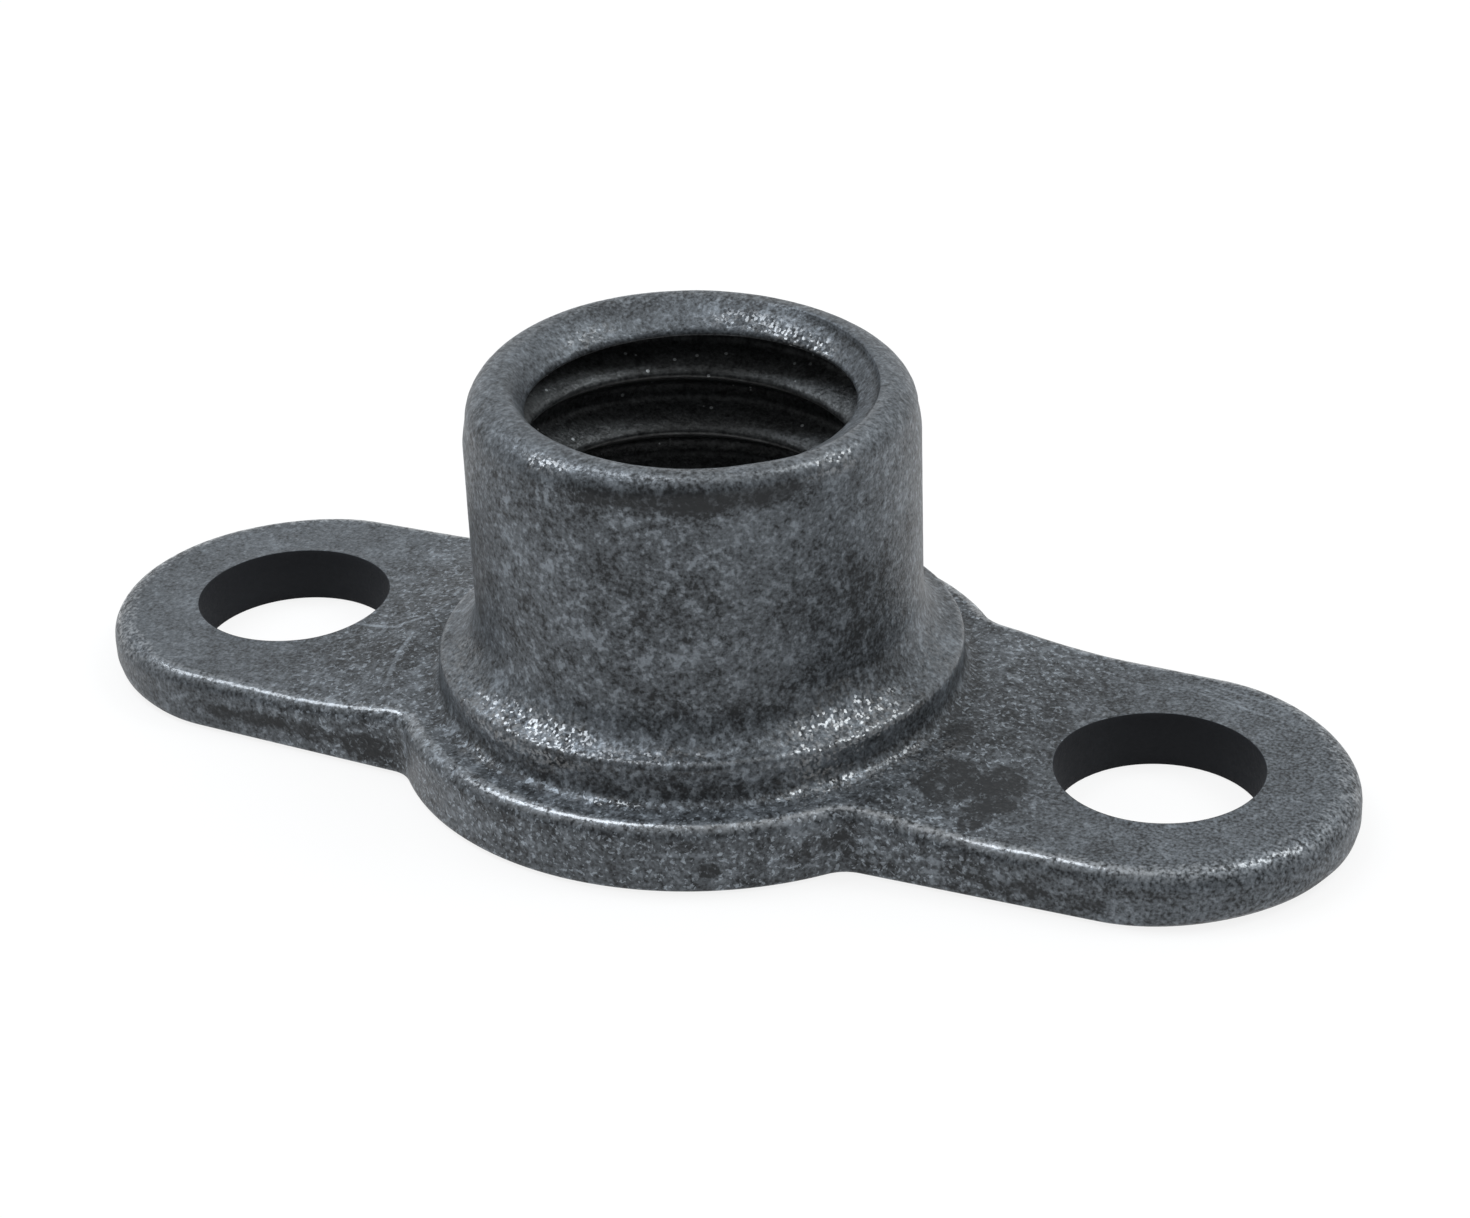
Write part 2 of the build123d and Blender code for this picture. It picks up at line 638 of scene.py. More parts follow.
    def hole_wall(self, upper: np.ndarray, lower: np.ndarray) -> np.ndarray:
        """Wall of the right ear's rivet hole, with its two edges just broken.

        Args:
            upper: First row of the upper face's grid.
            lower: First row of the underside's grid.

        Returns:
            A closed grid from the upper face to the underside.
        """
        top = self.top_height(upper)
        spokes = [row - self.hole_centre for row in (upper, lower)]
        ways = [spoke / np.linalg.norm(spoke, axis=1, keepdims=True) for spoke in spokes]
        rows = [lift(upper, top)]
        for share in np.linspace(0, 1, self.wall_steps + 1):
            way = ways[0] * (1 - share) + ways[1] * share
            way = way / np.linalg.norm(way, axis=1, keepdims=True)
            height = (top - self.hole_break) * (1 - share) + self.hole_break * share
            rows.append(lift(self.hole_centre + self.rivet_hole_r * way, height))
        rows.append(lift(lower, 0.0))
        return np.stack(rows)

    def build(self, patches: Patchwork) -> None:
        """Adds the base's grids.

        Args:
            patches: What the grids are added to.
        """
        rim_r = self.rivet_hole_r + self.hole_break
        upper = self.ear_grid(True, self.seam_r, rim_r, self.ear_rows)
        lower = self.ear_grid(False, self.entry_r, rim_r, self.under_rows)
        ring_top = self.ring_grid(True, self.seam_r)
        ring_under = self.ring_grid(False, self.entry_r)
        wall = self.hole_wall(upper[0], lower[0])
        for ear in Ear:
            patches.add(lift(self.turned(upper, ear), self.top_height(upper)), closed=True)
            patches.add(lift(self.turned(lower, ear), 0.0), closed=True)
            patches.add(lift(self.turned(ring_top, ear), self.top_height(ring_top)))
            patches.add(lift(self.turned(ring_under, ear), 0.0))
            patches.add(lift(self.turned(wall[..., :2], ear), wall[..., 2]), closed=True)
        patches.add(self.edge_band(), closed=True)


@dataclass
class Boss:
    """Collar, flare, wall and oval crown, from the seam with the base up and into the mouth of the bore."""

    height: float
    bore_r: float
    seam_r: float
    shelf_height: float
    segments: int
    collar_r: float = 3.26
    collar_top: float = 1.37
    root_r: float = 0.20
    rim_reach: float = 0.10
    foot_r: float = 2.76
    flare_r: float = 0.60
    crown_mean_r: float = 2.745
    crown_oval: float = 0.065
    crown_turn: float = math.radians(-47.0)
    lean_start: float = 4.10
    lean_end: float = 4.62
    crown_round: float = 0.325
    crown_round_oval: float = 0.113
    land: float = 0.05
    mouth_round: float = 0.14
    lip_width: float = 0.04
    lip_depth: float = 0.09
    lip_share: float = 0.3
    lip_middle: float = math.radians(27.0)
    crease_start: float = 0.2
    crease_full: float = 0.9
    mouth_depth: float = 0.32
    root_steps: int = 5
    collar_steps: int = 5
    rim_steps: int = 4
    flare_steps: int = 12
    wall_steps: int = 40
    crown_steps: int = 9
    mouth_steps: int = 10

    @property
    def angles(self) -> np.ndarray:
        """Angles of the points in each row."""
        return np.arange(self.segments) * TURN / self.segments

    @property
    def squeeze(self) -> np.ndarray:
        """1 on the crown's long way and -1 on its short way, for each point in a row."""
        return np.cos(2 * (self.angles - self.crown_turn))

    def row(self, radius: np.ndarray | float, height: np.ndarray | float) -> np.ndarray:
        """One row of points about the axis.

        Args:
            radius: Radius, or one for each point.
            height: Height, or one for each point.

        Returns:
            The row.
        """
        return lift(polar(radius, self.angles), height)

    def foot_rows(self) -> list[np.ndarray]:
        """Rows of the shelf, collar root, collar wall, rim and flare, up to where the wall starts.

        Returns:
            The rows, from the seam with the base inwards and up.
        """
        rows = [self.row(self.seam_r, self.shelf_height)]
        root_x = self.collar_r + self.root_r
        for angle in np.linspace(0, math.pi / 2, self.root_steps + 1):
            radius = root_x - self.root_r * math.sin(angle)
            rows.append(self.row(radius, self.shelf_height + self.root_r * (1 - math.cos(angle))))
        wall_foot = self.shelf_height + self.root_r
        wall_top = self.collar_top - self.rim_reach
        for height in np.linspace(wall_foot, wall_top, self.collar_steps + 1)[1:]:
            rows.append(self.row(self.collar_r, height))
        centre_r = self.foot_r + self.flare_r
        centre_z = self.collar_top + math.sqrt(self.flare_r**2 - (centre_r - self.collar_r) ** 2)
        rim_angle = math.atan2(self.collar_top - centre_z, self.collar_r - centre_r)
        start = rim_angle - self.rim_reach / self.flare_r
        flare = [
            np.array([centre_r + self.flare_r * math.cos(a), centre_z + self.flare_r * math.sin(a)])
            for a in np.linspace(start, -math.pi, self.flare_steps + 1)
        ]
        corner = np.array([self.collar_r, self.collar_top])
        below = np.array([self.collar_r, wall_top])
        for share in np.linspace(0, 1, self.rim_steps + 1)[1:-1]:
            point = below * (1 - share) ** 2 + corner * 2 * share * (1 - share) + flare[0] * share**2
            rows.append(self.row(*point))
        return rows + [self.row(*point) for point in flare]

    def crown_rows(self) -> list[np.ndarray]:
        """Rows of the wall above the flare, the rounded crown and the funnel down to the bore.

        Returns:
            The rows, from the flare up and into the mouth.
        """
        rows = []
        crown_r = self.crown_mean_r + self.crown_oval * self.squeeze
        turn_r = self.crown_round - self.crown_round_oval * self.squeeze
        centre_r = self.foot_r + self.flare_r
        foot = self.collar_top + math.sqrt(self.flare_r**2 - (centre_r - self.collar_r) ** 2)
        for share in np.linspace(0, 1, self.wall_steps + 1)[1:]:
            height = foot + (self.height - turn_r - foot) * share
            lean = smooth_step(height, self.lean_start, self.lean_end)
            rows.append(self.row(self.foot_r + (crown_r - self.foot_r) * lean, height))
        last_r = np.linalg.norm(rows[-1][:, :2], axis=1)
        for angle in np.linspace(0, math.pi / 2, self.crown_steps + 1)[1:]:
            out = last_r - turn_r * (1 - math.cos(angle))
            rows.append(self.row(out, self.height - turn_r * (1 - math.sin(angle))))
        crest = last_r - turn_r - self.land
        rows.append(self.row(crest, self.height))
        creased = smooth_step(np.cos(self.angles - self.lip_middle), self.crease_start, self.crease_full)
        for share in np.linspace(0, 1, self.mouth_steps + 1)[1:]:
            soft = (crest - self.mouth_round) * 2 * share * (1 - share) + crest * (1 - share) ** 2
            soft = soft + self.bore_r * share**2
            within = min(share / self.lip_share, 1.0)
            past = max(share - self.lip_share, 0.0) / (1 - self.lip_share)
            sharp = (crest - self.lip_width * within) * (1 - past) + self.bore_r * past
            sharp_depth = self.lip_depth * within * (1 - past) + self.mouth_depth * past
            depth = sharp_depth * creased + self.mouth_depth * share**2 * (1 - creased)
            rows.append(self.row(sharp * creased + soft * (1 - creased), self.height - depth))
        return rows

    def build(self, patches: Patchwork) -> None:
        """Adds the boss's grid.

        Args:
            patches: What the grid is added to.
        """
        patches.add(np.stack(self.foot_rows() + self.crown_rows()), closed=True)


@dataclass
class ThreadBore:
    """Bore with its right-hand thread and entry chamfer, made by a rule in height and turn."""

    minor_r: float
    top: float
    entry_r: float
    segments: int
    rows: int = 96
    pitch: float = 0.794
    major_r: float = 2.413
    crest_height: float = 3.673
    crest_flat: float = 0.04
    flank_slope: float = math.tan(math.radians(60.0))
    corner_width: float = 0.10
    lip: float = 0.03
    fade: float = 0.12

    def rule(self) -> GeometryRule:
        """The tree that bends a flat grid into the threaded bore.

        Returns:
            The finished tree.
        """
        sizes = ("Pitch", "Minor Radius", "Major Radius", "Top", "Crest Height", "Crest Flat")
        sizes += ("Flank Slope", "Corner Width", "Entry Radius", "Lip", "Fade")
        inputs = {"Geometry": SocketKind.GEOMETRY, "Material": SocketKind.MATERIAL}
        inputs |= {"Rows": SocketKind.INTEGER, "Segments": SocketKind.INTEGER}
        inputs |= {name: SocketKind.FLOAT for name in sizes}
        made = GeometryRule("threaded_bore", inputs)
        bench, given = made.bench, made.given
        counts = {"Size X": 1.0, "Size Y": 1.0}
        counts["Vertices X"] = bench.math("ADD", given["Rows"], 1.0)
        counts["Vertices Y"] = bench.math("ADD", given["Segments"], 1.0)
        grid = bench.node("GeometryNodeMeshGrid", counts)
        place = bench.parts(bench.node("GeometryNodeInputPosition", {}).outputs[0])
        up = bench.math("ADD", place["X"], 0.5)
        round_share = bench.math("ADD", place["Y"], 0.5)
        height = bench.product(up, given["Top"])
        radius = self.radius(bench, given, height, round_share)
        angle = bench.product(round_share, TURN)
        inputs = {"X": bench.product(radius, bench.math("COSINE", angle))}
        inputs["Y"] = bench.product(radius, bench.math("SINE", angle))
        inputs["Z"] = height
        spot = bench.node("ShaderNodeCombineXYZ", inputs).outputs[0]
        bent = bench.node("GeometryNodeSetPosition", {"Geometry": grid.outputs[0], "Position": spot})
        seam = {"Geometry": bent.outputs[0], "Distance": Patchwork.weld_distance * MM}
        joined = bench.node("GeometryNodeMergeByDistance", seam)
        made.close(joined.outputs[0])
        return made

    def radius(
        self, bench: NodeBench, given: bpy.types.NodeOutputs, height: Value, round_share: Value
    ) -> Value:
        """Radius of the bore's wall at a height and a share of the turn.

        Args:
            bench: Where the nodes go.
            given: The tree's inputs.
            height: Height above the base.
            round_share: Share of a full turn.

        Returns:
            The radius.
        """
        risen = bench.math("DIVIDE", bench.math("SUBTRACT", height, given["Crest Height"]), given["Pitch"])
        phase = bench.math("FRACT", bench.math("SUBTRACT", risen, round_share))
        from_root = bench.math("ABSOLUTE", bench.math("SUBTRACT", phase, 0.5))
        from_crest = bench.product(bench.math("SUBTRACT", 0.5, from_root), given["Pitch"])
        on_flank = bench.math("SUBTRACT", from_crest, given["Crest Flat"])
        flank = bench.product(on_flank, given["Flank Slope"])
        depth = bench.math("SMOOTH_MAX", flank, 0.0, given["Corner Width"])
        full = bench.math("SUBTRACT", given["Major Radius"], given["Minor Radius"])
        depth = bench.math("SMOOTH_MIN", depth, full, given["Corner Width"])
        below_lip = bench.math("SUBTRACT", bench.math("SUBTRACT", given["Top"], given["Lip"]), height)
        depth = bench.product(depth, bench.rise(below_lip, 0.0, given["Fade"]))
        thread = bench.math("ADD", given["Minor Radius"], bench.math("MAXIMUM", depth, 0.0))
        entry = bench.math("SUBTRACT", given["Entry Radius"], height)
        return bench.math("MAXIMUM", thread, entry)

    def build(self, patches: Patchwork, material: bpy.types.Material) -> None:
        """Adds the bore's quads.

        Args:
            patches: What the quads are added to.
            material: Finish of the wall.
        """
        values = {"Pitch": self.pitch, "Minor Radius": self.minor_r, "Major Radius": self.major_r}
        values |= {"Top": self.top, "Crest Height": self.crest_height, "Crest Flat": self.crest_flat}
        values |= {"Corner Width": self.corner_width, "Entry Radius": self.entry_r}
        values |= {"Lip": self.lip, "Fade": self.fade}
        values = {name: value * MM for name, value in values.items()}
        values |= {"Flank Slope": self.flank_slope, "Rows": self.rows, "Segments": self.segments}
        values["Material"] = material
        patches.add_mesh(self.rule().run(bpy.data.meshes.new("bore_seed"), values))


@dataclass
class Unevenness:
    """Shallow unevenness of a forged and tumbled surface, pressed inwards so that the part never grows."""

    broad_depth: float = 0.012
    broad_per_mm: float = 0.9
    fine_depth: float = 0.006
    fine_per_mm: float = 4.0
    flat_height: float = 0.02
    free_height: float = 0.12
    hole_margin: float = 0.01
    hole_clear: float = 0.10
    seed: float = 4.0

    def rule(self) -> GeometryRule:
        """The tree that presses the surface in by noise, but not at the base or round the rivet holes.

        Returns:
            The finished tree.
        """
        sizes = ("Broad Depth", "Broad Count", "Fine Depth", "Fine Count", "Flat Height", "Free Height")
        sizes += ("Seed", "Hole Place", "Hole Radius", "Hole Clear")
        inputs = {"Geometry": SocketKind.GEOMETRY, "Material": SocketKind.MATERIAL}
        inputs |= {name: SocketKind.FLOAT for name in sizes}
        made = GeometryRule("forged_unevenness", inputs)
        bench, given = made.bench, made.given
        place = bench.node("GeometryNodeInputPosition", {}).outputs[0]
        spot = bench.scaled(place, 1 / MM)
        pressed = []
        for depth, count in (("Broad Depth", "Broad Count"), ("Fine Depth", "Fine Count")):
            inputs = {"Vector": spot, "W": given["Seed"], "Scale": given[count], "Detail": 2.0}
            noise = bench.node("ShaderNodeTexNoise", inputs, noise_dimensions="4D").outputs[0]
            pressed.append(bench.product(noise, given[depth]))
        parts = bench.parts(place)
        above = bench.rise(parts["Z"], given["Flat Height"], given["Free Height"])
        beside = bench.math("SUBTRACT", bench.math("ABSOLUTE", parts["X"]), given["Hole Place"])
        clear = bench.math("SUBTRACT", bench.length(beside, parts["Y"]), given["Hole Radius"])
        free = bench.product(above, bench.rise(clear, 0.0, given["Hole Clear"]))
        inward = bench.product(bench.total(*pressed), free, -1.0)
        shift = bench.scaled(bench.node("GeometryNodeInputNormal", {}).outputs[0], inward)
        moved = bench.node("GeometryNodeSetPosition", {"Geometry": given["Geometry"], "Offset": shift})
        made.close(moved.outputs[0])
        return made

    def apply(self, mesh: bpy.types.Mesh, material: bpy.types.Material) -> bpy.types.Mesh:
        """Gives a mesh its unevenness.

        Args:
            mesh: The even mesh.
            material: Finish of the mesh.

        Returns:
            The uneven mesh.
        """
        lengths = {"Broad Depth": self.broad_depth, "Fine Depth": self.fine_depth}
        lengths |= {"Flat Height": self.flat_height, "Free Height": self.free_height}
        lengths["Hole Place"] = mount_size("rivet_holes", "spacing_x_mm") / 2
        lengths["Hole Radius"] = mount_size("rivet_holes", "hole_r_mm") + self.hole_margin
        lengths["Hole Clear"] = self.hole_clear
        values: dict[str, object] = {name: length * MM for name, length in lengths.items()}
        values |= {"Broad Count": self.broad_per_mm, "Fine Count": self.fine_per_mm, "Seed": self.seed}
        values["Material"] = material
        return self.rule().run(mesh, values)


def about_axis(radius: float, degrees: float, height: float) -> Point:
    """A place given by its radius, its angle about the axis and its height.

    Args:
        radius: Radius in millimetres.
        degrees: Angle from +X.
        height: Height in millimetres.

    Returns:
        X, Y and Z.
    """
    angle = math.radians(degrees)
    return radius * math.cos(angle), radius * math.sin(angle), height


@dataclass(frozen=True)
class Zone:
    """A soft-edged patch of the surface, with the tone, bright grain or dullness that it adds.

    The reach is along the patch, across it and upwards. The turn is that of its length from +X, in degrees.
    """

    centre: Point
    reach: Point
    turn: float
    tone: float
    soft: float = 0.5
    ragged: float = 0.8

    def share(self, bench: NodeBench, place: Socket, rag: Socket) -> Socket:
        """What the patch adds at a place.

        Args:
            bench: Where the nodes go.
            place: Coordinates in millimetres.
            rag: Noise that frays the patch's edge.

        Returns:
            The patch's tone, which fades to 0 outside it.
        """
        inputs = {"Vector": place, "Location": self.centre, "Scale": self.reach}
        inputs["Rotation"] = (0.0, 0.0, math.radians(self.turn))
        local = bench.node("ShaderNodeMapping", inputs, vector_type="TEXTURE").outputs[0]
        away = bench.node("ShaderNodeVectorMath", {0: local}, operation="LENGTH").outputs["Value"]
        frayed = bench.math("MULTIPLY_ADD", rag, self.ragged, away)
        return bench.rise(frayed, 1.0 + self.soft, 1.0 - self.soft, 0.0, self.tone)


# Stains, scratches and dark patches as they lie on the part, and patches of painted shade and painted
# highlight
MARKS_AND_PAINTED_LIGHT: tuple[Zone, ...] = (
    # Painted shade: dark band under the crown's rim, on the wall where it was squeezed in
    Zone(about_axis(2.76, -62, 4.53), (1.35, 1.2, 0.15), 28, -0.75, 0.6, 0.3),
    # Painted shade and painted reflection: dark right side and light left side of the boss, with a dark band
    # at its left edge
    Zone(about_axis(2.76, -22, 2.5), (0.9, 0.9, 1.0), 68, -0.30, 0.8),
    Zone(about_axis(2.76, -112, 3.3), (0.55, 0.8, 0.9), -22, 0.30, 0.8),
    Zone(about_axis(2.76, -137, 3.2), (0.35, 0.6, 1.6), -47, -0.30, 0.8),
    # Painted shade: dark middle of the flare, between the two lamps' highlights
    Zone(about_axis(2.85, -64, 1.85), (1.0, 0.6, 0.24), 26, -0.26, 0.7),
    # Stain on the right ear, with its lobes
    Zone((3.84, -1.36, 0.78), (0.34, 0.50, 0.4), 0, -0.55, 0.12, 0.3),
    Zone((4.42, -1.20, 0.74), (0.30, 0.48, 0.4), 10, -0.55, 0.12, 0.3),
    Zone((4.32, -1.84, 0.74), (0.22, 0.28, 0.4), 0, -0.50, 0.15, 0.3),
    Zone((3.57, -0.40, 0.86), (0.16, 0.34, 0.4), 0, -0.40, 0.2, 0.6),
    # Darker ground between the boss and the rivet holes
    Zone((4.1, 0.3, 0.75), (1.1, 1.7, 0.5), 0, -0.28, 0.6),
    Zone((-3.9, 0.0, 0.75), (0.9, 1.6, 0.5), 0, -0.24, 0.6),
    Zone((5.2, 1.7, 0.72), (1.1, 0.45, 0.4), -6, -0.14, 0.6),
    # Dark notches and blotches on the ears' front walls
    Zone((2.86, -2.62, 0.42), (0.55, 0.5, 0.16), -20, -0.45, 0.5, 1.2),
    Zone((-3.14, -2.50, 0.30), (0.30, 0.4, 0.25), 20, -0.40, 0.5, 1.2),
    Zone((-5.60, -2.38, 0.30), (0.22, 0.3, 0.10), 0, -0.65, 0.4, 1.2),
    Zone((-5.10, -2.38, 0.33), (0.34, 0.3, 0.10), 0, -0.60, 0.4, 1.2),
    Zone((-4.30, -2.40, 0.32), (0.45, 0.3, 0.11), 0, -0.60, 0.4, 1.2),
    Zone((-3.52, -2.42, 0.32), (0.35, 0.3, 0.15), 0, -0.60, 0.4, 1.2),
    Zone((4.40, -2.42, 0.36), (0.35, 0.3, 0.11), 0, -0.40, 0.4, 1.2),
    Zone((5.00, -2.41, 0.26), (0.42, 0.3, 0.10), 0, -0.55, 0.4, 1.2),
    Zone((5.87, -2.38, 0.24), (0.30, 0.3, 0.09), 0, -0.50, 0.4, 1.2),
    # Painted shade: dark line under the rounded edge's highlight at the right ear's end
    Zone((6.62, -2.26, 0.46), (0.70, 0.3, 0.07), -17, -0.40, 0.5, 1.0),
    # Pit on the ring's wall, with a light streak over it
    Zone((1.69, -3.44, 0.30), (0.12, 0.2, 0.10), 26, -0.80, 0.25, 0.3),
    Zone((1.45, -3.52, 0.52), (0.34, 0.2, 0.03), 24, 0.75, 0.5, 0.5),
    Zone((1.35, -3.56, 0.60), (0.25, 0.2, 0.05), 24, -0.35, 0.5, 0.8),
    # Scratches behind the right hole and between the left one and the boss
    Zone((6.30, 1.72, 0.74), (0.70, 0.022, 0.3), -14, 0.8, 0.6, 0.8),
    Zone((6.15, 1.86, 0.74), (0.55, 0.020, 0.3), -16, 0.7, 0.6, 0.8),
    Zone((6.45, 1.95, 0.74), (0.60, 0.022, 0.3), -12, 0.6, 0.6, 0.8),
    Zone((5.30, 1.80, 0.74), (0.40, 0.020, 0.3), 6, 0.5, 0.6, 0.8),
    Zone((-4.43, -0.42, 0.76), (0.26, 0.030, 0.3), -1, 1.3, 0.6, 0.8),
    Zone((-4.06, -0.28, 0.80), (0.20, 0.028, 0.3), 46, 1.3, 0.6, 0.8),
    Zone((-3.84, 0.10, 0.80), (0.30, 0.026, 0.3), 68, 1.0, 0.6, 0.8),
    Zone((-3.64, -1.40, 0.84), (0.38, 0.028, 0.3), 108, 1.0, 0.6, 0.8),
    Zone((-3.78, -0.84, 0.84), (0.26, 0.030, 0.3), 99, 1.2, 0.6, 0.8),
    # Painted shade: dark slope into the mouth on the crown's far side, and a slightly dark rim in front
    Zone(about_axis(2.38, 98, 4.74), (0.75, 0.20, 0.12), 8, -0.40, 0.5, 0.6),
    Zone(about_axis(2.40, 134, 4.75), (0.75, 0.20, 0.12), 44, -0.38, 0.5, 0.6),
    Zone(about_axis(2.62, -62, 4.80), (1.30, 0.20, 0.10), 28, -0.12, 0.6, 0.6),
    # Painted highlight: lighter front of the flare and of the shelf; painted shade: darker shelf on the left,
    # darker ring wall and collar
    Zone(about_axis(2.89, -67, 1.59), (0.60, 0.30, 0.16), 23, 0.20, 0.6, 0.8),
    Zone(about_axis(3.40, -64, 0.90), (0.80, 0.16, 0.14), 26, 0.36, 0.6, 0.8),
    Zone(about_axis(3.40, -96, 0.90), (0.70, 0.16, 0.14), -6, 0.25, 0.6, 0.8),
    Zone(about_axis(3.44, -34, 0.92), (0.70, 0.18, 0.14), 56, 0.25, 0.6, 0.8),
    Zone(about_axis(3.28, -123, 0.93), (0.35, 0.18, 0.14), -33, -0.20, 0.6, 0.8),
    Zone(about_axis(3.83, -84, 0.50), (1.50, 0.35, 0.45), 6, -0.14, 0.6, 0.8),
    Zone(about_axis(3.26, -77, 1.20), (0.90, 0.20, 0.16), 13, -0.14, 0.6, 0.8),
)

# Coarse bright grain on the flare, the collar's rim, the shelf, the mouth and the crown
GLINTS: tuple[Zone, ...] = (
    Zone(about_axis(3.06, -106, 1.44), (1.00, 0.34, 0.32), -16, 1.0, 0.6, 1.0),
    Zone(about_axis(3.06, -138, 1.42), (0.70, 0.30, 0.30), -48, 0.45, 0.7, 1.0),
    Zone(about_axis(3.06, -31, 1.46), (0.92, 0.34, 0.38), 59, 1.0, 0.6, 1.0),
    Zone(about_axis(3.06, 6, 1.46), (0.60, 0.30, 0.36), 96, 0.4, 0.7, 1.0),
    Zone(about_axis(3.40, -118, 0.95), (0.34, 0.12, 0.12), -28, 0.6, 0.5, 1.0),
    Zone(about_axis(3.48, -84, 0.93), (0.55, 0.14, 0.14), 6, 1.0, 0.5, 1.0),
    Zone(about_axis(3.42, -40, 0.95), (0.90, 0.18, 0.16), 50, 1.0, 0.5, 1.0),
    Zone(about_axis(3.52, -18, 0.93), (0.55, 0.24, 0.16), 72, 0.7, 0.6, 1.0),
    Zone(about_axis(2.02, 70, 4.52), (0.62, 0.16, 0.15), 160, 1.0, 0.5, 1.0),
    Zone(about_axis(2.12, 96, 4.62), (0.55, 0.14, 0.10), 6, 0.55, 0.6, 1.0),
    Zone(about_axis(2.16, 156, 4.62), (0.55, 0.12, 0.10), 66, 0.40, 0.6, 1.0),
    Zone(about_axis(2.66, -104, 4.74), (0.36, 0.16, 0.12), -14, 0.9, 0.6, 1.0),
    Zone(about_axis(2.74, -27, 4.70), (0.42, 0.16, 0.13), 63, 0.9, 0.6, 1.0),
    Zone(about_axis(3.14, -70, 1.40), (0.75, 0.16, 0.12), 20, 0.45, 0.6, 1.0),
    Zone(about_axis(3.24, -38, 1.36), (0.50, 0.08, 0.06), 52, 1.0, 0.6, 1.0),
)

# Edges that are rubbed less than the rest: the ring's on the left front and the left ear's
DULLED: tuple[Zone, ...] = (
    Zone(about_axis(3.72, -120, 0.80), (0.85, 0.40, 0.40), -30, -0.55, 0.6, 1.0),
    Zone((-5.0, -2.30, 0.62), (2.20, 0.50, 0.40), 0, -0.35, 0.4, 1.0),
)


@dataclass(frozen=True)
class Fade:
    """A smooth change from one value to another between two places."""

    start: float
    end: float
    low: float = 0.0
    high: float = 1.0

    def at(self, bench: NodeBench, place: Socket) -> Socket:
        """The value at a place.

        Args:
            bench: Where the nodes go.
            place: The place.

        Returns:
            A value from low to high.
        """
        return bench.rise(place, self.start, self.end, self.low, self.high)


@dataclass(frozen=True)
class Grain:
    """One size of noise in the coating."""

    per_mm: float
    detail: float
    seed: float
    roughness: float = 0.6
    distortion: float = 0.0

    def at(self, bench: NodeBench, spot: Socket) -> Socket:
        """The noise at a place.

        Args:
            bench: Where the nodes go.
            spot: Coordinates in millimetres.

        Returns:
            Noise about zero.
        """
        return bench.noise(spot, self.per_mm, self.detail, self.seed, self.roughness, self.distortion)


@dataclass(frozen=True)
class CoatNoise:
    """Noise of the coating, from broad blotches to fine grain, and a mix of its two middle sizes."""

    blotch: Socket
    mottle: Socket
    fleck: Socket
    grain: Socket
    mixed: Socket


